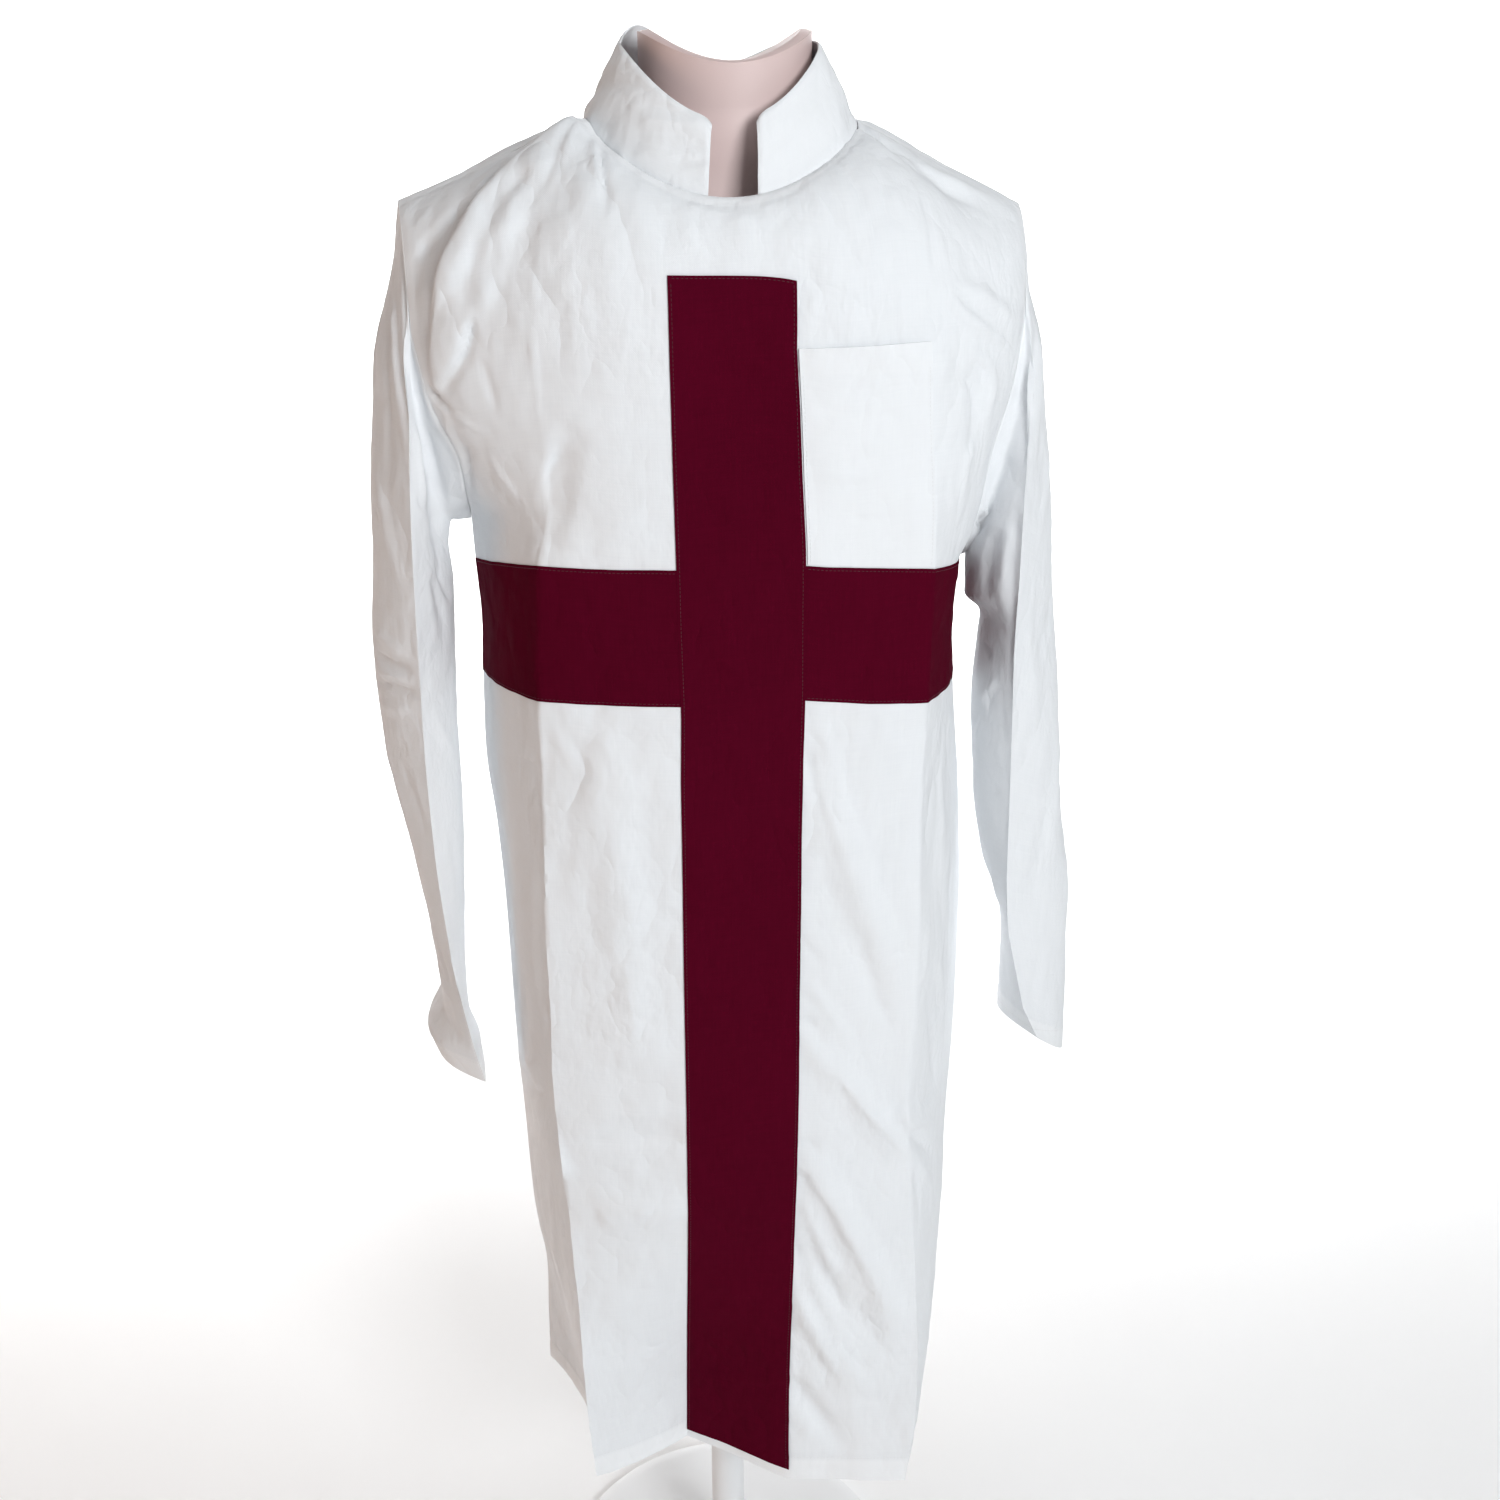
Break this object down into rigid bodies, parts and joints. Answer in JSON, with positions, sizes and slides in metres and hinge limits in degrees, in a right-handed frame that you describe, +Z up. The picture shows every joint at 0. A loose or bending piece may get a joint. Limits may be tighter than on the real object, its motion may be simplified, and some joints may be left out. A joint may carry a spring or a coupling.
{
  "type": "tunic on dress form",
  "caption": "Long-sleeved cotton tunic with open stand collar, chest pocket and appliqued Latin cross, worn by a limbless dress form on a round-base stand.",
  "frame": {"origin": "centre of the stand's underside, on the floor", "axes": "+Z up along the pole, -Y towards the front of the garment, +X towards the wearer's left arm"},
  "size_m": [0.577, 0.33, 1.4794],
  "materials": {
    "white_cotton": "matte plain weave",
    "maroon_cotton": "matte plain weave",
    "form_skin": "smooth satin",
    "stand_metal": "satin white paint"
  },
  "bodies": {
    "root": {"front": "white_cotton", "back": "white_cotton", "sleeve_left": "white_cotton", "sleeve_right": "white_cotton", "collar": "white_cotton", "pocket": "white_cotton", "cross_upright": "maroon_cotton", "cross_arm_left": "maroon_cotton", "cross_arm_right": "maroon_cotton", "dress_form": "form_skin", "stand_pole": "stand_metal", "stand_base": "stand_metal"}
  },
  "joints": []
}
